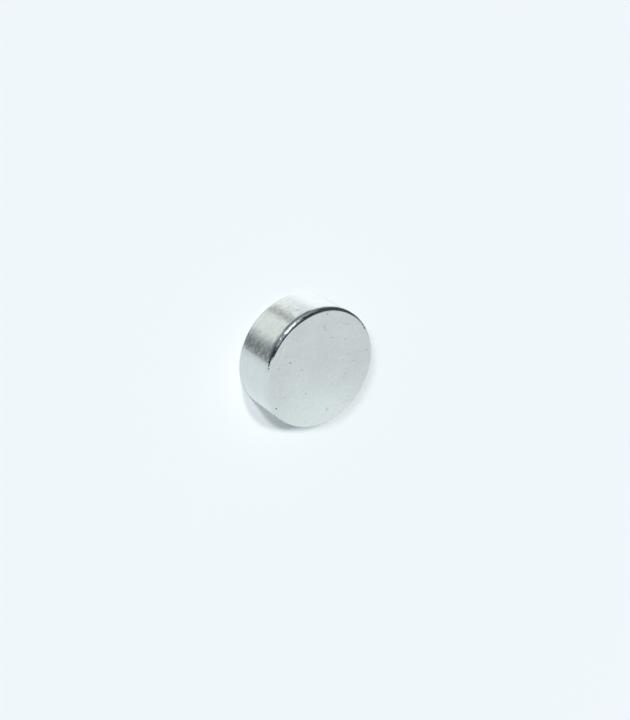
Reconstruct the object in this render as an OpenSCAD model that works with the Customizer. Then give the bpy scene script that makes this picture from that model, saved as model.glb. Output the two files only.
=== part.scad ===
// Disc magnet: one round puck with two plain end faces and softly rounded edges.
// It stands on one end face, with its axis along Z and the origin at the middle of that face.

/* [Disc] */
// Outside diameter
disc_d = 10; // [3:0.5:40]
// Height from one end face to the other
disc_h = 4; // [1:0.25:20]

/* [Rounded edges] */
// How far in from the wall the flat of each end face stops
edge_setback = 0.25; // [0.05:0.05:0.5]
// How far along the wall each rounded edge reaches
edge_drop = 0.35; // [0.05:0.05:0.45]

/* [Hidden] */

nickel = [0.78, 0.80, 0.79];
round_sides = 96; // sides drawn round the disc
edge_steps = 12; // straight steps in each rounded edge

face_r = disc_d / 2 - edge_setback;

// A point on the round of an edge, a quarter of an ellipse whose centre is at height z.
// At an angle of 0 it meets the wall, and at -90 or 90 the lower or the upper face.
function edge_point(z, angle) = [face_r + edge_setback * cos(angle), z + edge_drop * sin(angle)];

// Half of the disc's upright section, from the axis out along the lower face and back along the upper one
section = concat(
    [[0, 0]],
    [for (i = [0 : edge_steps]) edge_point(edge_drop, 90 * (i / edge_steps - 1))],
    [for (i = [0 : edge_steps]) edge_point(disc_h - edge_drop, 90 * i / edge_steps)],
    [[0, disc_h]]
);

module disc_magnet() {
    color(nickel)
        rotate_extrude($fn = round_sides)
            polygon(section);
}

disc_magnet();
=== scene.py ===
import math

import bpy
from mathutils import Matrix, Vector


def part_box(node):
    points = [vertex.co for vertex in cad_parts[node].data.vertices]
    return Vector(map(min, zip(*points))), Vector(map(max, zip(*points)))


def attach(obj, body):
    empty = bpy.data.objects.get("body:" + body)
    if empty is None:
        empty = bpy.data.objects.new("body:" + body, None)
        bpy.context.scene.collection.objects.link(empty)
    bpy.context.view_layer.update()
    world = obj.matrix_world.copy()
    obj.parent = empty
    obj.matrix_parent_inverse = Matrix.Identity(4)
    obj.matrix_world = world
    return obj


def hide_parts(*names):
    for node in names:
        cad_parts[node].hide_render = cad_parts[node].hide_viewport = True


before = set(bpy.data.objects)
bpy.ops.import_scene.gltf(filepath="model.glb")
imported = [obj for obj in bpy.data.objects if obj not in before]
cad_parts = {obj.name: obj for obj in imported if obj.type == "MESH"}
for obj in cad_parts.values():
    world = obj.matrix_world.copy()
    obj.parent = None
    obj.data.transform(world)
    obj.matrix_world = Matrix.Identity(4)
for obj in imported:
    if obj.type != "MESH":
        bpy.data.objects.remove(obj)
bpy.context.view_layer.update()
mm = 0.001

discLow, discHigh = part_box("disc_magnet")
discRadius = min(discHigh.x, discHigh.y, -discLow.x, -discLow.y)
discHeight = discHigh.z - discLow.z
print("frame loaded: disc", round(discRadius / mm, 3), "x", round(discHeight / mm, 3), "mm")


# ---- helpers

def direction(turn, height):
    # turn goes round from +X, and height up from the floor, in degrees
    az, el = math.radians(turn), math.radians(height)
    return Vector((math.cos(az) * math.cos(el), math.sin(az) * math.cos(el), math.sin(el)))


def newTree(owner):
    owner.use_nodes = True
    owner.node_tree.nodes.clear()
    return owner.node_tree


def node(tree, kind, **settings):
    made = tree.nodes.new(kind)
    for name, value in settings.items():
        setattr(made, name, value)
    return made


def feed(tree, socket, value):
    # joins an output to a socket, or sets a plain number or colour on it
    if isinstance(value, bpy.types.NodeSocket):
        tree.links.new(value, socket)
    else:
        socket.default_value = value


def maths(tree, operation, a, b=0.0):
    made = node(tree, "ShaderNodeMath", operation=operation)
    feed(tree, made.inputs[0], a)
    feed(tree, made.inputs[1], b)
    return made.outputs[0]


def average(tree, a, b):
    return maths(tree, "ADD", maths(tree, "MULTIPLY", a, 0.5), maths(tree, "MULTIPLY", b, 0.5))


def centred(tree, value, size):
    # noise runs from 0 to 1, so this makes it swing both ways
    return maths(tree, "MULTIPLY", maths(tree, "SUBTRACT", value, 0.5), size)


def remap(tree, value, fromLow, fromHigh, toLow, toHigh, smooth=True):
    made = node(tree, "ShaderNodeMapRange", interpolation_type="SMOOTHSTEP" if smooth else "LINEAR")
    limits = {"From Min": fromLow, "From Max": fromHigh, "To Min": toLow, "To Max": toHigh}
    for name, number in limits.items():
        feed(tree, made.inputs[name], number)
    feed(tree, made.inputs["Value"], value)
    return made.outputs["Result"]


def blendColour(tree, share, a, b):
    made = node(tree, "ShaderNodeMix", data_type="RGBA")
    feed(tree, made.inputs["Factor"], share)
    feed(tree, made.inputs[6], a)
    feed(tree, made.inputs[7], b)
    return made.outputs[2]


def vectorSum(tree, a, b):
    made = node(tree, "ShaderNodeVectorMath", operation="ADD")
    tree.links.new(a, made.inputs[0])
    tree.links.new(b, made.inputs[1])
    return made.outputs[0]


def vectorLength(tree, vector):
    made = node(tree, "ShaderNodeVectorMath", operation="LENGTH")
    tree.links.new(vector, made.inputs[0])
    return made.outputs["Value"]


def split(tree, vector):
    made = node(tree, "ShaderNodeSeparateXYZ")
    tree.links.new(vector, made.inputs[0])
    return made.outputs


def noiseNode(tree, place, scale, detail=3.0, rough=0.5, stretch=(1, 1, 1), shift=(0, 0, 0), turn=0):
    # scale is in cycles per millimetre, and turn in degrees about the disc's axis
    if turn:
        turned = node(tree, "ShaderNodeMapping")
        turned.inputs["Rotation"].default_value = (0, 0, math.radians(turn))
        tree.links.new(place, turned.inputs["Vector"])
        place = turned.outputs[0]
    mapping = node(tree, "ShaderNodeMapping")
    mapping.inputs["Location"].default_value = shift
    mapping.inputs["Scale"].default_value = tuple(scale * s / mm for s in stretch)
    tree.links.new(place, mapping.inputs["Vector"])
    made = node(tree, "ShaderNodeTexNoise")
    made.inputs["Scale"].default_value = 1.0
    made.inputs["Detail"].default_value = detail
    made.inputs["Roughness"].default_value = rough
    tree.links.new(mapping.outputs[0], made.inputs["Vector"])
    return made


def noise(tree, place, pattern):
    return noiseNode(tree, place, **pattern).outputs["Fac"]


def shaken(tree, place, scale, reach):
    # moves places about a little, so that what is drawn there gets a ragged outline
    moved = node(tree, "ShaderNodeVectorMath", operation="MULTIPLY_ADD")
    tree.links.new(noiseNode(tree, place, scale).outputs["Color"], moved.inputs[0])
    moved.inputs[1].default_value = (2 * reach, 2 * reach, 0)
    moved.inputs[2].default_value = (-reach, -reach, 0)
    return vectorSum(tree, place, moved.outputs[0])


# ---- camera

cameraSet = {
    "azimuth": 138.6,        # degrees round the disc, from +X
    "elevation": 47.46,      # degrees above the floor
    "distance": 100.0 * mm,  # from the middle of the disc
    "aimAside": 0.675 * mm,  # how far right of the middle it looks
    "lens": 64.0,
    "nearest": 1 * mm,       # what it sees starts here
    "farthest": 2000 * mm,   # and ends here
}


def placeCamera(settings):
    middle = Vector((0, 0, discHeight / 2))
    towards = direction(settings["azimuth"], settings["elevation"])
    eye = middle + towards * settings["distance"]
    # the camera is turned on its side, so that +Y is straight up in the picture
    pictureUp = Vector((0, 1, 0))
    right = pictureUp.cross(towards).normalized()
    back = (eye - (middle + right * settings["aimAside"])).normalized()
    right = pictureUp.cross(back).normalized()
    up = back.cross(right)
    data = bpy.data.cameras.new("camera")
    data.lens = settings["lens"]
    data.clip_start = settings["nearest"]
    data.clip_end = settings["farthest"]
    camera = bpy.data.objects.new("camera", data)
    bpy.context.scene.collection.objects.link(camera)
    camera.matrix_world = Matrix.Translation(eye) @ Matrix((right, up, back)).transposed().to_4x4()
    bpy.context.scene.camera = camera


placeCamera(cameraSet)
print("camera placed")


# ---- the disc

discSet = {
    "sides": 360,
    "edgeSetback": 0.20 * mm,    # how far the round reaches over the face
    "edgeReach": 0.34 * mm,      # how far it reaches along the wall
    "edgeSteps": 18,
    "shoulder": 0.53 * mm,       # this far from each face the wall leans in a little
    "shoulderLean": 3.8,         # degrees
    "shoulderRound": 0.13 * mm,
    "shoulderSteps": 6,
    "flatRim": 0.03 * mm,        # a ring that keeps the face flat beside the round
    "rimAngle": 60,              # the rims of the blank are sharper than this, in degrees
    "smoothAngle": 30,           # and what is less sharp than this is shaded smooth
    "edgeFrom": 0.12,            # a surface that looks up or down by more than this share is edge, not wall
}

flatShare = 0.9999              # a surface that looks up or down by more than this share is the flat face
sameHeight = 0.001 * mm

pitRagged = 0.10                # how uneven a pit's outline is, as a share of its size

# small damage in the plating: the middle and the half sizes in millimetres, and the turn in degrees
pits = [
    {"at": (-4.73, 1.40, 3.89), "size": (0.065, 0.065, 0.05), "turn": 75},
    {"at": (-4.17, -2.13, 4.0), "size": (0.09, 0.055, 0.035), "turn": 125},
    {"at": (-2.90, 1.40, 4.0), "size": (0.05, 0.03, 0.015), "turn": 40},
    {"at": (0.60, 4.53, 4.0), "size": (0.055, 0.045, 0.03), "turn": 80},
    {"at": (3.93, 2.77, 3.97), "size": (0.13, 0.05, 0.04), "turn": 123},
    {"at": (4.11, 2.45, 3.97), "size": (0.17, 0.085, 0.05), "turn": 121},
]


def selectNone():
    bpy.ops.object.select_all(action="DESELECT")


def selectOnly(piece):
    selectNone()
    piece.select_set(True)
    bpy.context.view_layer.objects.active = piece


def selectRings(piece, heights):
    # the edges that go round the piece at these heights
    points = piece.data.vertices
    for edge in piece.data.edges:
        ends = [points[i].co.z for i in edge.vertices]
        edge.select = any(max(abs(z - height) for z in ends) < sameHeight for height in heights)


def isFlat(face):
    return abs(face.normal.z) > flatShare


def selectFlats(piece):
    # the two flat faces of a piece that is in edit mode
    bpy.ops.mesh.select_mode(type="FACE")
    bpy.ops.mesh.select_all(action="DESELECT")
    bpy.ops.object.mode_set(mode="OBJECT")
    for face in piece.data.polygons:
        face.select = isFlat(face)
    bpy.ops.object.mode_set(mode="EDIT")


def makeDisc(settings):
    # drawn squat with an even round, then stretched, so that the round reaches further along the wall
    stretch = settings["edgeReach"] / settings["edgeSetback"]
    squat = discHeight / stretch
    shoulder = settings["shoulder"]
    leanIn = shoulder * math.tan(math.radians(settings["shoulderLean"]))
    selectNone()
    bpy.ops.mesh.primitive_cylinder_add(vertices=settings["sides"], radius=discRadius, depth=squat,
                                        end_fill_type="NGON", location=(0, 0, squat / 2))
    disc = bpy.context.object
    disc.name = "magnetDisc"
    bpy.ops.object.transform_apply(location=True, rotation=True, scale=True)
    bpy.ops.object.mode_set(mode="EDIT")
    for height in (shoulder / stretch, squat - shoulder / stretch):
        bpy.ops.mesh.select_all(action="SELECT")
        bpy.ops.mesh.bisect(plane_co=(0, 0, height), plane_no=(0, 0, 1))
    selectFlats(disc)
    narrower = 1 - leanIn / discRadius
    bpy.ops.transform.resize(value=(narrower, narrower, 1), center_override=(0, 0, 0))
    bpy.ops.mesh.select_mode(type="EDGE")
    bpy.ops.mesh.select_all(action="DESELECT")
    bpy.ops.mesh.edges_select_sharp(sharpness=math.radians(settings["rimAngle"]))
    bpy.ops.mesh.bevel(offset=settings["edgeSetback"], offset_type="OFFSET", segments=settings["edgeSteps"],
                       profile=0.5, affect="EDGES")
    bpy.ops.mesh.select_all(action="SELECT")
    bpy.ops.transform.resize(value=(1, 1, stretch), center_override=(0, 0, 0))
    bpy.ops.mesh.select_all(action="DESELECT")
    bpy.ops.object.mode_set(mode="OBJECT")
    selectRings(disc, (shoulder, discHeight - shoulder))
    bpy.ops.object.mode_set(mode="EDIT")
    bpy.ops.mesh.bevel(offset=settings["shoulderRound"], offset_type="OFFSET",
                       segments=settings["shoulderSteps"], profile=0.5, affect="EDGES")
    selectFlats(disc)
    bpy.ops.mesh.inset(thickness=settings["flatRim"])
    bpy.ops.object.mode_set(mode="OBJECT")
    return disc


def makeCutter(pit, seed):
    selectNone()
    bpy.ops.mesh.primitive_ico_sphere_add(subdivisions=3, radius=1.0, location=(0, 0, 0))
    cutter = bpy.context.object
    bpy.ops.object.mode_set(mode="EDIT")
    bpy.ops.mesh.select_all(action="SELECT")
    bpy.ops.transform.vertex_random(offset=pitRagged, uniform=1.0, seed=seed)
    bpy.ops.object.mode_set(mode="OBJECT")
    cutter.scale = tuple(v * mm for v in pit["size"])
    cutter.rotation_euler = (0, 0, math.radians(pit["turn"]))
    cutter.location = tuple(v * mm for v in pit["at"])
    bpy.ops.object.transform_apply(location=True, rotation=True, scale=True)
    return cutter


def cutPits(piece, lining):
    cutters = [makeCutter(pit, seed) for seed, pit in enumerate(pits)]
    selectNone()
    for cutter in cutters:
        cutter.select_set(True)
    bpy.context.view_layer.objects.active = cutters[0]
    bpy.ops.object.join()
    tool = bpy.context.object
    tool.data.materials.append(lining)
    selectOnly(piece)
    cut = piece.modifiers.new("pits", "BOOLEAN")
    cut.operation = "DIFFERENCE"
    cut.solver = "EXACT"
    cut.material_mode = "TRANSFER"
    cut.object = tool
    bpy.ops.object.modifier_apply(modifier=cut.name)
    bpy.data.objects.remove(tool)


# ---- nickel

nickelColour = (0.66, 0.68, 0.67)

# faint rubbed marks on the face: the middle and the half sizes in millimetres, and the turn in degrees
rubs = [
    {"at": (0.33, 3.50), "size": (0.10, 0.30), "turn": 4, "strength": 1.0},
    {"at": (0.42, 3.26), "size": (0.30, 0.08), "turn": -12, "strength": 1.0},
    {"at": (0.97, 2.52), "size": (0.18, 0.11), "turn": 25, "strength": 1.0},
    {"at": (1.22, 2.38), "size": (0.12, 0.08), "turn": -30, "strength": 0.8},
    {"at": (2.45, 3.18), "size": (0.18, 0.10), "turn": -20, "strength": 0.9},
    {"at": (2.30, 1.95), "size": (0.09, 0.20), "turn": 10, "strength": 0.6},
    {"at": (-3.17, 2.00), "size": (0.11, 0.09), "turn": 0, "strength": 1.0},
    {"at": (-2.84, 1.38), "size": (0.18, 0.11), "turn": -35, "strength": 1.0},
    {"at": (-2.45, 1.36), "size": (0.14, 0.09), "turn": 15, "strength": 0.7},
    {"at": (-3.85, 1.12), "size": (0.08, 0.16), "turn": -10, "strength": 0.6},
    {"at": (-1.90, 2.20), "size": (0.20, 0.05), "turn": -14, "strength": 0.4},
    {"at": (2.33, -1.08), "size": (0.10, 0.26), "turn": 10, "strength": 0.9},
    {"at": (2.18, -1.38), "size": (0.07, 0.15), "turn": 30, "strength": 0.7},
    {"at": (3.10, -0.15), "size": (0.34, 0.08), "turn": -16, "strength": 0.6},
    {"at": (2.60, 0.62), "size": (0.40, 0.06), "turn": -12, "strength": 0.5},
    {"at": (-1.45, -1.65), "size": (0.14, 0.09), "turn": 0, "strength": 0.9},
    {"at": (-1.78, 0.50), "size": (0.16, 0.08), "turn": -8, "strength": 1.0},
    {"at": (0.50, 0.20), "size": (0.32, 0.05), "turn": -10, "strength": 0.4},
    {"at": (0.55, -3.67), "size": (0.13, 0.15), "turn": 0, "strength": 0.9},
    {"at": (4.35, 0.50), "size": (0.22, 0.10), "turn": -30, "strength": 0.7},
    {"at": (4.38, -1.55), "size": (0.08, 0.20), "turn": 5, "strength": 0.8},
    {"at": (4.05, -1.50), "size": (0.06, 0.16), "turn": 0, "strength": 0.6},
    {"at": (-3.30, -1.44), "size": (0.54, 0.030), "turn": -13, "strength": 1.0},
    {"at": (-1.55, -4.05), "size": (0.26, 0.04), "turn": -20, "strength": 0.5},
]

# painted highlights: small places on the face that are given a brighter colour than the rest, standing in
# for glints
paintedGlints = [
    {"at": (1.90, 0.45), "size": (0.34, 0.12), "turn": -6, "strength": 1.0},
    {"at": (-1.22, -1.72), "size": (0.12, 0.09), "turn": 0, "strength": 0.9},
    {"at": (-2.60, 1.62), "size": (0.20, 0.10), "turn": -30, "strength": 0.8},
    {"at": (1.12, 2.70), "size": (0.16, 0.07), "turn": 20, "strength": 0.7},
    {"at": (2.20, 3.55), "size": (0.16, 0.07), "turn": 60, "strength": 0.7},
    {"at": (3.05, -0.80), "size": (0.08, 0.30), "turn": 12, "strength": 0.7},
    {"at": (0.45, -3.40), "size": (0.10, 0.10), "turn": 0, "strength": 0.6},
    {"at": (2.45, -4.00), "size": (0.30, 0.12), "turn": 35, "strength": 0.8},
    {"at": (-3.95, 2.30), "size": (0.14, 0.10), "turn": 50, "strength": 0.6},
]


def shaded(share):
    return tuple(c * share for c in nickelColour) + (1,)


noiseMiddle = (0.38, 0.62)      # most of a noise lies between these, so the tones are spread over them


def mottled(tree, value, tones):
    share = remap(tree, value, *noiseMiddle, 0.0, 1.0, smooth=False)
    return blendColour(tree, share, *map(shaded, tones))


def metalShader(tree, metallic=1.0):
    shader = node(tree, "ShaderNodeBsdfPrincipled")
    shader.inputs["Metallic"].default_value = metallic
    output = node(tree, "ShaderNodeOutputMaterial")
    tree.links.new(shader.outputs[0], output.inputs["Surface"])
    return shader


def startMaterial(name):
    material = bpy.data.materials.new(name)
    tree = newTree(material)
    place = node(tree, "ShaderNodeTexCoord").outputs["Object"]
    return material, tree, place


def wobbled(tree, aside, along):
    # turns the surface a little: aside goes round the disc, along goes up the disc's axis
    facing = node(tree, "ShaderNodeNewGeometry").outputs["Normal"]
    sidewards = node(tree, "ShaderNodeVectorMath", operation="CROSS_PRODUCT")
    sidewards.inputs[0].default_value = (0, 0, 1)
    tree.links.new(facing, sidewards.inputs[1])
    turned = node(tree, "ShaderNodeVectorMath", operation="SCALE")
    tree.links.new(sidewards.outputs[0], turned.inputs[0])
    feed(tree, turned.inputs["Scale"], aside)
    lifted = node(tree, "ShaderNodeCombineXYZ")
    feed(tree, lifted.inputs["Z"], along)
    both = vectorSum(tree, turned.outputs[0], lifted.outputs[0])
    unit = node(tree, "ShaderNodeVectorMath", operation="NORMALIZE")
    tree.links.new(vectorSum(tree, facing, both), unit.inputs[0])
    return unit.outputs[0]


def addBump(tree, shader, height, depth, facing=None):
    bump = node(tree, "ShaderNodeBump")
    bump.inputs["Distance"].default_value = depth
    bump.inputs["Strength"].default_value = 1.0
    tree.links.new(height, bump.inputs["Height"])
    if facing:
        tree.links.new(facing, bump.inputs["Normal"])
    tree.links.new(bump.outputs[0], shader.inputs["Normal"])


markFull = 0.4                  # a mark is full out to this share of its size, and gone at its outline


def marksMask(tree, place, marks):
    mask = 0.0
    for mark in marks:
        mapping = node(tree, "ShaderNodeMapping", vector_type="TEXTURE")
        mapping.inputs["Location"].default_value = (mark["at"][0] * mm, mark["at"][1] * mm, discHeight)
        mapping.inputs["Rotation"].default_value = (0, 0, math.radians(mark["turn"]))
        mapping.inputs["Scale"].default_value = (mark["size"][0] * mm, mark["size"][1] * mm, 1 * mm)
        tree.links.new(place, mapping.inputs["Vector"])
        spot = remap(tree, vectorLength(tree, mapping.outputs[0]), markFull, 1.0, mark["strength"], 0.0)
        mask = maths(tree, "MAXIMUM", mask, spot)
    return mask


# in the settings below, tones are shares of the nickel's colour, and scales are in cycles per millimetre;
# ends are the values of a noise between which a pattern comes in or goes
faceSet = {
    "haze": {"scale": 0.42, "rough": 0.55, "stretch": (0.8, 1.2, 1)},
    "grain": {"scale": 3.0, "rough": 0.55, "stretch": (0.9, 1.1, 1), "turn": 12},
    "speck": {"scale": 5.0, "detail": 1, "shift": (9, 1, 3)},
    "speckEnds": (0.26, 0.32),  # specks are where the noise is low
    "hair": {"scale": 1.0, "rough": 0.6, "stretch": (0.5, 7, 1), "shift": (2, 5, 0), "turn": 10},
    "hairEnds": (0.62, 0.70),
    "tones": (0.95, 1.03),
    "darkTone": 0.86,
    "speckShare": 0.6,          # how much of the dark tone the specks and the hairlines get
    "hairShare": 0.5,
    # the painted highlights' tone, brighter than the nickel, standing in for glints
    "paintedGlintTone": 1.12,
    "rubTone": 0.69,
    "markScale": 6.0,
    "markShake": 0.16 * mm,     # how ragged the marks are
    "rubEnds": (0.35, 0.6),     # the rubbed marks are full where the speck noise is high
    "rubLeast": 0.5,            # and keep this share where it is low
    "paintedGlintEnds": (0.45, 0.55),
    "rough": (0.06, 0.11),
    "roughEnds": (0.3, 0.7),
    "hairRough": 0.03,          # what the hairlines and the rubbed marks add to it
    "rubRough": 0.10,
    "grainHeight": 0.4,         # as shares of the relief, how high the grain stands
    "hairDepth": 0.3,           # and how deep the hairlines lie
    "relief": 0.0005 * mm,
}


def nickelFace(settings):
    material, tree, place = startMaterial("nickelFace")
    shader = metalShader(tree)
    haze = noise(tree, place, settings["haze"])
    grain = noise(tree, place, settings["grain"])
    speck = noise(tree, place, settings["speck"])
    hair = remap(tree, noise(tree, place, settings["hair"]), *settings["hairEnds"], 0.0, 1.0)
    uneven = shaken(tree, place, settings["markScale"], settings["markShake"])
    broken = remap(tree, speck, *settings["rubEnds"], settings["rubLeast"], 1.0)
    rubbed = maths(tree, "MULTIPLY", marksMask(tree, uneven, rubs), broken)
    # painted highlights: the listed spots get a brighter colour in grains, standing in for glints
    glintBreakup = remap(tree, speck, *settings["paintedGlintEnds"], 0.0, 1.0)
    bright = maths(tree, "MULTIPLY", marksMask(tree, uneven, paintedGlints), glintBreakup)
    clean = mottled(tree, average(tree, haze, grain), settings["tones"])
    specks = remap(tree, speck, *settings["speckEnds"], settings["speckShare"], 0.0)
    dark = maths(tree, "MAXIMUM", specks, maths(tree, "MULTIPLY", hair, settings["hairShare"]))
    spotted = blendColour(tree, dark, clean, shaded(settings["darkTone"]))
    # lays the painted highlights over the face's colour
    lit = blendColour(tree, bright, spotted, shaded(settings["paintedGlintTone"]))
    tree.links.new(blendColour(tree, rubbed, lit, shaded(settings["rubTone"])), shader.inputs["Base Color"])
    rough = remap(tree, haze, *settings["roughEnds"], *settings["rough"])
    worn = maths(tree, "ADD", maths(tree, "MULTIPLY", hair, settings["hairRough"]),
                 maths(tree, "MULTIPLY", rubbed, settings["rubRough"]))
    tree.links.new(maths(tree, "ADD", rough, worn), shader.inputs["Roughness"])
    height = maths(tree, "SUBTRACT", maths(tree, "MULTIPLY", grain, settings["grainHeight"]),
                   maths(tree, "MULTIPLY", hair, settings["hairDepth"]))
    addBump(tree, shader, height, settings["relief"])
    return material


# the wall is ground round the axis: smooth, with patches of fine grain that smear what it mirrors sideways
wallSet = {
    "waves": {"scale": 1.1, "rough": 0.65, "stretch": (1, 1, 2.5)},
    "wavesTurn": 0.05,                  # how far the slow waves turn the surface
    "grain": {"scale": 55.0, "detail": 1, "stretch": (1, 1, 1.5), "shift": (4, 2, 9)},
    "grainTurn": 1.0,                   # how far the fine grain turns it
    "grit": {"scale": 8.0, "detail": 2, "stretch": (1, 1, 1.4), "shift": (7, 3, 1)},
    "gritTurn": 0.12,                   # how far the wider grit turns it
    "patches": {"scale": 2.4, "rough": 0.65, "stretch": (1, 1, 1.5), "shift": (1, 6, 2)},
    "patchEnds": (0.40, 0.68),
    "patchShare": (0.10, 1.0),          # how much grain there is between the patches and in them
    "patchesLift": 0.02,                # how far the patches tip the surface up and down
    "cloud": {"scale": 0.7, "stretch": (1, 1, 2), "shift": (3, 1, 7)},
    "tones": (0.96, 1.02),
    "rough": (0.08, 0.16),
    "relief": 0.0003 * mm,
    # shares for the side towards -X: each turns into the rest's share over a stretch of X given in radii
    "sideTurn": {"share": 0.22, "stretch": (-0.955, -0.90), "rest": 1.0},
    "stripTurn": {"share": 1.35, "stretch": (-0.80, -0.66), "rest": 1.0},
    "sideGrit": {"share": 1.0, "stretch": (-0.80, -0.60), "rest": 0.4},
}


def sideShare(tree, across, side):
    start, end = (radii * discRadius for radii in side["stretch"])
    return remap(tree, across, start, end, side["share"], side["rest"])


def nickelWall(settings):
    material, tree, place = startMaterial("nickelWall")
    shader = metalShader(tree)
    waves = noise(tree, place, settings["waves"])
    grain = noise(tree, place, settings["grain"])
    grit = noise(tree, place, settings["grit"])
    patches = noise(tree, place, settings["patches"])
    cloud = noise(tree, place, settings["cloud"])
    plated = mottled(tree, average(tree, cloud, patches), settings["tones"])
    tree.links.new(plated, shader.inputs["Base Color"])
    ground = remap(tree, patches, *settings["patchEnds"], *settings["patchShare"])
    tree.links.new(remap(tree, ground, 0.0, 1.0, *settings["rough"]), shader.inputs["Roughness"])
    across = split(tree, place)["X"]
    coarse = maths(tree, "MULTIPLY", sideShare(tree, across, settings["sideTurn"]),
                   sideShare(tree, across, settings["stripTurn"]))
    fineTurn = maths(tree, "MULTIPLY", centred(tree, grain, settings["grainTurn"]), ground)
    gritTurn = maths(tree, "MULTIPLY", centred(tree, grit, settings["gritTurn"]),
                     sideShare(tree, across, settings["sideGrit"]))
    ragged = maths(tree, "MULTIPLY", maths(tree, "ADD", fineTurn, gritTurn), coarse)
    aside = maths(tree, "ADD", centred(tree, waves, settings["wavesTurn"]), ragged)
    facing = wobbled(tree, aside, centred(tree, patches, settings["patchesLift"]))
    addBump(tree, shader, patches, settings["relief"], facing)
    return material


edgeSet = {
    "dents": {"scale": 2.8, "rough": 0.6, "shift": (5, 1, 3)},
    "dentsTurn": 0.48,          # how far the dents turn the surface sideways
    "streaks": {"scale": 1.3, "rough": 0.65, "stretch": (1, 1, 3.2)},
    "streaksTurn": 0.2,         # and how far the streaks do
    "swells": {"scale": 3.5, "detail": 2, "shift": (7, 7, 1)},
    "swellsLift": 0.38,         # how far the swells tip it up and down
    "lowerShare": 0.35,         # the lower edge is less dented
    "change": (0.25, 0.75),     # its share turns into the upper edge's between these shares of the height
    "fine": {"scale": 9, "detail": 1, "shift": (4, 2, 9)},
    "tones": (0.94, 1.02),
    "rough": (0.04, 0.08),
    "roughEnds": (0.35, 0.65),
    "relief": 0.0004 * mm,
}


def nickelEdge(settings):
    material, tree, place = startMaterial("nickelEdge")
    shader = metalShader(tree)
    dents = noise(tree, place, settings["dents"])
    fine = noise(tree, place, settings["fine"])
    streaks = noise(tree, place, settings["streaks"])
    swells = noise(tree, place, settings["swells"])
    tree.links.new(blendColour(tree, dents, *map(shaded, settings["tones"])), shader.inputs["Base Color"])
    rough = remap(tree, fine, *settings["roughEnds"], *settings["rough"])
    tree.links.new(rough, shader.inputs["Roughness"])
    aside = maths(tree, "ADD", centred(tree, dents, settings["dentsTurn"]),
                  centred(tree, streaks, settings["streaksTurn"]))
    along = centred(tree, swells, settings["swellsLift"])
    start, end = (share * discHeight for share in settings["change"])
    upper = remap(tree, split(tree, place)["Z"], start, end, settings["lowerShare"], 1.0)
    facing = wobbled(tree, maths(tree, "MULTIPLY", aside, upper), maths(tree, "MULTIPLY", along, upper))
    addBump(tree, shader, fine, settings["relief"], facing)
    return material


pitSet = {
    "grit": {"scale": 25},
    "dark": (0.12, 0.125, 0.13),
    "lighter": 2.2,             # the light grains are this many times lighter
    "metallic": 0.6,
    "rough": (0.45, 0.7),
    "roughEnds": (0.3, 0.7),
    "relief": 0.006 * mm,
}


def barePit(settings):
    # where the plating has broken away
    material, tree, place = startMaterial("barePit")
    shader = metalShader(tree, settings["metallic"])
    grit = noise(tree, place, settings["grit"])
    dark = settings["dark"] + (1,)
    light = tuple(c * settings["lighter"] for c in settings["dark"]) + (1,)
    tree.links.new(blendColour(tree, grit, dark, light), shader.inputs["Base Color"])
    rough = remap(tree, grit, *settings["roughEnds"], *settings["rough"])
    tree.links.new(rough, shader.inputs["Roughness"])
    addBump(tree, shader, grit, settings["relief"])
    return material


def dressDisc(piece, settings):
    for material in (nickelWall(wallSet), nickelFace(faceSet), nickelEdge(edgeSet)):
        piece.data.materials.append(material)
    for face in piece.data.polygons:
        if isFlat(face):
            face.material_index = 1
        elif abs(face.normal.z) > settings["edgeFrom"]:
            face.material_index = 2
        else:
            face.material_index = 0
    cutPits(piece, barePit(pitSet))
    selectOnly(piece)
    # the rims of the pits stay sharp, so that the flat face beside them is shaded flat
    bpy.ops.object.mode_set(mode="EDIT")
    bpy.ops.mesh.select_mode(type="FACE")
    bpy.ops.mesh.select_all(action="DESELECT")
    piece.active_material_index = len(piece.data.materials) - 1
    bpy.ops.object.material_slot_select()
    bpy.ops.mesh.region_to_loop()
    bpy.ops.mesh.mark_sharp()
    bpy.ops.object.mode_set(mode="OBJECT")
    bpy.ops.object.shade_smooth_by_angle(angle=math.radians(settings["smoothAngle"]))


disc = makeDisc(discSet)
dressDisc(disc, discSet)
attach(disc, "root")
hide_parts("disc_magnet")
print("disc made and plated,", len(disc.data.polygons), "faces")


# ---- floor, surroundings and light

paleGround = (0.886, 0.942, 0.976, 1)      # what the plain ground and the plain sky show

floorSet = {
    "radius": 400 * mm,
    "sides": 128,
    "fade": (45 * mm, 110 * mm),        # from here out the ground turns into the plain backdrop
    "plainShare": 0.09,                 # how much of the ground beside the disc is plain
    "litTint": (1.035, 0.991, 0.994),   # the lit part is a little warmer, so the shadow is a little greener
}


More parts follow.
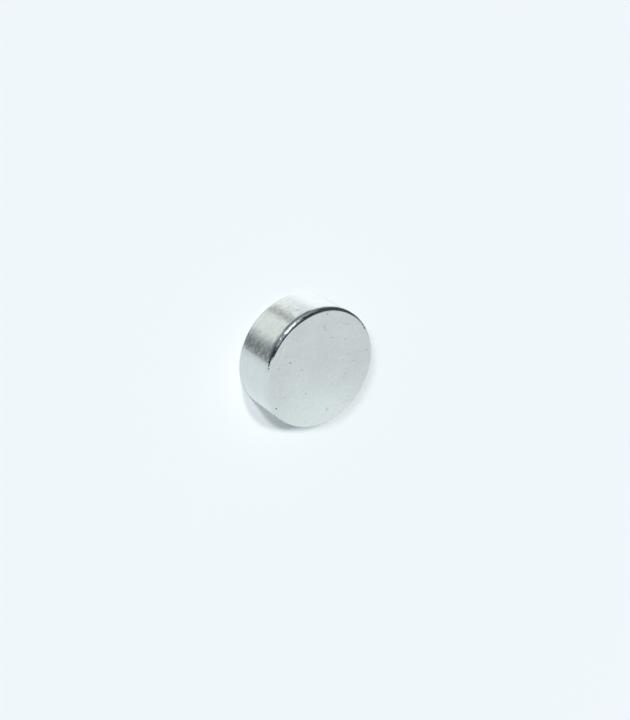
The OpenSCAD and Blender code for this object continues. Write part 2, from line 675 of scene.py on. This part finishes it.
def makeFloor(settings):
    selectNone()
    bpy.ops.mesh.primitive_circle_add(vertices=settings["sides"], radius=settings["radius"],
                                      fill_type="NGON", location=(0, 0, 0))
    floor = bpy.context.object
    floor.name = "floor"
    material, tree, place = startMaterial("floorPale")
    share = settings["plainShare"]
    far = remap(tree, vectorLength(tree, place), *settings["fade"], share, 1.0)
    litColour = tuple(c * t for c, t in zip(paleGround, settings["litTint"])) + (1,)
    plainColour = tuple((c - (1 - share) * lit) / share for c, lit in zip(paleGround[:3], litColour)) + (1,)
    near = node(tree, "ShaderNodeBsdfDiffuse")
    near.inputs["Color"].default_value = litColour
    plain = node(tree, "ShaderNodeEmission")
    # keeps the sum of the lit and the plain part the same all the way out
    whole = remap(tree, maths(tree, "DIVIDE", share, far), 1.0, share, 0.0, 1.0, smooth=False)
    tree.links.new(blendColour(tree, whole, plainColour, paleGround), plain.inputs["Color"])
    seen = node(tree, "ShaderNodeLightPath").outputs["Is Camera Ray"]
    tree.links.new(seen, plain.inputs["Strength"])
    mix = node(tree, "ShaderNodeMixShader")
    tree.links.new(far, mix.inputs[0])
    tree.links.new(near.outputs[0], mix.inputs[1])
    tree.links.new(plain.outputs[0], mix.inputs[2])
    output = node(tree, "ShaderNodeOutputMaterial")
    tree.links.new(mix.outputs[0], output.inputs["Surface"])
    floor.data.materials.append(material)
    floor.visible_glossy = False


makeFloor(floorSet)

# The surroundings that the metal mirrors, laid over each other in this order. Each panel covers a stretch of
# turn (round the disc's axis, from +X), height (above the floor) and rise (towards +Y), all in degrees.
# A stretch is four angles: where the panel starts to show, is full, starts to fade and is gone.
below = (-64, -54, -46.6, -44.4)
studioBase = {
    "level": 1.00,
    "colour": (0.918, 1.0, 1.05),
    "floorLight": 0.10,     # how much light the sky gives the floor, beside the lamps
}
studioPanels = [
    {"name": "underside", "turn": (-175, -160, -40, -15), "height": (-92, -91, -76, -66),
     "level": 0.40, "colour": (0.90, 1.0, 1.03)},
    {"name": "rimHaze", "turn": (-84, -62, -28, -6), "height": (-46, -36, 30, 46),
     "level": 0.93, "colour": (0.92, 1.0, 1.04)},
    {"name": "upperFace", "turn": (-56, -50, -32, -26), "height": (38, 42, 52, 57),
     "rise": (-44, -38, 20, 40), "level": 0.915, "colour": (0.925, 1.0, 1.025)},
    {"name": "lowerFace", "turn": (-75, -60, -16, -6), "height": (26, 34, 45.8, 48.2),
     "rise": (-60, -50, -29.2, -26.8), "level": 1.12, "colour": (0.925, 1.0, 1.03)},
    {"name": "besideDoor", "turn": (-200, -190, -177, -160),
     "level": 0.875, "colour": (0.905, 1.0, 1.035)},
    {"name": "lowHaze", "turn": (-60, -46, -22, -8), "height": (-60, -52, -38, -6),
     "level": 0.84, "colour": (0.92, 1.0, 1.04)},
    {"name": "shadowHaze", "turn": (-93, -76, -54, -28), "height": (-46.8, -44.6, -34, 8),
     "level": 0.80, "colour": (0.89, 1.0, 1.06)},
    {"name": "shadow", "turn": (-82, -66, -60, -46), "height": (-47, -45, -38, -22),
     "level": 0.36, "colour": (0.85, 1.0, 1.07)},
    {"name": "lowShadow", "turn": (-70, -54, -46, -28), "height": below,
     "level": 0.36, "colour": (0.87, 1.0, 1.05)},
    {"name": "room", "turn": (-28, 8, 174, 179.8), "height": (-48.6, -46.8, 66, 84),
     "level": 0.06, "colour": (0.84, 1.0, 1.12)},
    {"name": "wallLight", "turn": (157, 174, 190, 200), "height": (0, 16, 60, 80),
     "level": 0.95, "colour": (0.905, 1.0, 1.035)},
    {"name": "corner", "turn": (10, 24, 60, 74), "height": (-34, -24, 6, 26),
     "level": 0.03, "colour": (0.80, 1.0, 1.6)},
    {"name": "horizon", "turn": (2, 22, 60, 80), "height": (-16, -6, -2, 7),
     "level": 0.16, "colour": (0.88, 1.0, 1.14)},
    {"name": "lampGlow", "turn": (-30, -2, 30, 58), "height": (22, 46, 62, 80),
     "level": 0.58, "colour": (0.90, 1.0, 1.08)},
    {"name": "lowRoom", "turn": (-6, 12, 176, 179.9), "height": (-48.6, -46.8, -38, -26),
     "level": 0.22, "colour": (0.89, 1.0, 1.12)},
    {"name": "shelf", "turn": (56, 70, 88, 97), "height": (-43, -37, -22, -6),
     "level": 0.44, "colour": (0.92, 1.0, 1.09)},
    {"name": "windowGlow", "turn": (86, 100, 122, 136), "height": (-43, -38.5, -2, 30),
     "level": 0.52, "colour": (0.87, 1.0, 1.22)},
    {"name": "leftPane", "turn": (95, 102, 112, 118), "height": (-37, -29, -12, 6),
     "level": 1.5, "colour": (0.94, 1.0, 1.07)},
    {"name": "rightPane", "turn": (107, 112, 122, 130), "height": (-33, -22, 4, 28),
     "level": 1.7, "colour": (0.95, 1.0, 1.06)},
    {"name": "lowPane", "turn": (82, 88, 93, 98), "height": (-41, -37, -32, -18),
     "level": 0.80, "colour": (0.94, 1.0, 1.07)},
    {"name": "besideWindow", "turn": (127, 132, 137, 153), "height": (-42, -16, 22, 36),
     "level": 0.46, "colour": (0.89, 1.0, 1.06)},
    {"name": "cloth", "turn": (-50, 6, 48, 60), "height": below,
     "level": 1.25, "colour": (0.945, 1.0, 1.02)},
    {"name": "lowCloth", "turn": (48, 60, 76, 96), "height": (-70, -60, -48.4, -47.2),
     "level": 1.27, "colour": (0.945, 1.0, 1.01)},
    {"name": "brightCloth", "turn": (-16, 30, 32, 54), "height": below,
     "level": 1.40, "colour": (0.945, 1.0, 1.025)},
    {"name": "pearl", "turn": (64, 92, 122, 150), "height": (-70, -60, -48.0, -46.4),
     "level": 1.10, "colour": (0.95, 1.0, 0.985)},
    {"name": "crease", "turn": (80, 88, 96, 102), "height": (-70, -60, -48.5, -47.2),
     "level": 0.60, "colour": (0.94, 1.0, 0.985)},
    {"name": "highPearl", "turn": (112, 126, 130, 156), "height": (-56, -50, -45.6, -42.8),
     "level": 1.04, "colour": (0.95, 1.0, 0.955)},
    {"name": "underDoor", "turn": (-200, -190, -160, -130), "height": (-90.5, -90.1, -74, -64),
     "level": 0.10, "colour": (0.90, 1.0, 1.01)},
    {"name": "door", "turn": (136, 163, 179, 179.95), "height": (-84, -74, -45.4, -43.0),
     "level": 0.29, "colour": (0.90, 1.0, 1.01)},
    {"name": "doorEdge", "turn": (-200, -190, -178.6, -177.4), "height": below,
     "level": 0.315, "colour": (0.90, 1.0, 1.03)},
]


def makeWorld(panels, base):
    world = bpy.data.worlds.new("studio")
    bpy.context.scene.world = world
    tree = newTree(world)
    ahead = split(tree, node(tree, "ShaderNodeTexCoord").outputs["Generated"])
    angles = {
        "turn": maths(tree, "DEGREES", maths(tree, "ARCTAN2", ahead["Y"], ahead["X"])),
        "height": maths(tree, "DEGREES", maths(tree, "ARCSINE", ahead["Z"])),
        "rise": maths(tree, "DEGREES", maths(tree, "ARCSINE", ahead["Y"])),
    }
    shade = tuple(base["level"] * c for c in base["colour"]) + (1,)
    for panel in panels:
        share = 1.0
        for name, angle in angles.items():
            if name in panel:
                start, full, fade, gone = panel[name]
                grows = remap(tree, angle, start, full, 0.0, 1.0)
                fades = remap(tree, angle, fade, gone, 1.0, 0.0)
                share = maths(tree, "MULTIPLY", share, maths(tree, "MULTIPLY", grows, fades))
        colour = tuple(panel["level"] * c for c in panel["colour"]) + (1,)
        shade = blendColour(tree, share, shade, colour)
    rays = node(tree, "ShaderNodeLightPath").outputs
    studio = node(tree, "ShaderNodeBackground")
    feed(tree, studio.inputs["Color"], shade)
    plain = node(tree, "ShaderNodeBackground")
    plain.inputs["Color"].default_value = paleGround
    # the camera sees the plain sky at full strength, and the floor gets less of it
    strength = remap(tree, rays["Is Camera Ray"], 0.0, 1.0, base["floorLight"], 1.0)
    feed(tree, plain.inputs["Strength"], strength)
    mirrored = maths(tree, "MAXIMUM", rays["Is Glossy Ray"], rays["Is Transmission Ray"])
    mix = node(tree, "ShaderNodeMixShader")
    tree.links.new(mirrored, mix.inputs[0])
    tree.links.new(plain.outputs[0], mix.inputs[1])
    tree.links.new(studio.outputs[0], mix.inputs[2])
    output = node(tree, "ShaderNodeOutputWorld")
    tree.links.new(mix.outputs[0], output.inputs["Surface"])


makeWorld(studioPanels, studioBase)

# the turn from +X and the height above the floor, in degrees, and how many degrees across the lamp looks
lampSet = {
    "key": {"turn": 122.0, "height": 50.0, "spread": 6.0, "strength": 1.54},
    "upper": {"turn": 98.5, "height": 60.0, "spread": 6.0, "strength": 1.155},
    "lower": {"turn": 137.5, "height": 39.5, "spread": 6.0, "strength": 0.985},
}


def makeLamp(name, settings):
    data = bpy.data.lights.new(name, "SUN")
    data.energy = settings["strength"]
    data.angle = math.radians(settings["spread"])
    lamp = bpy.data.objects.new(name, data)
    towards = direction(settings["turn"], settings["height"])
    lamp.rotation_mode = "QUATERNION"
    lamp.rotation_quaternion = (-towards).to_track_quat("-Z", "Y")
    lamp.visible_glossy = False
    bpy.context.scene.collection.objects.link(lamp)


for name, settings in lampSet.items():
    makeLamp(name, settings)
bpy.context.scene.view_settings.view_transform = "Standard"
print("floor, surroundings and lamps set")
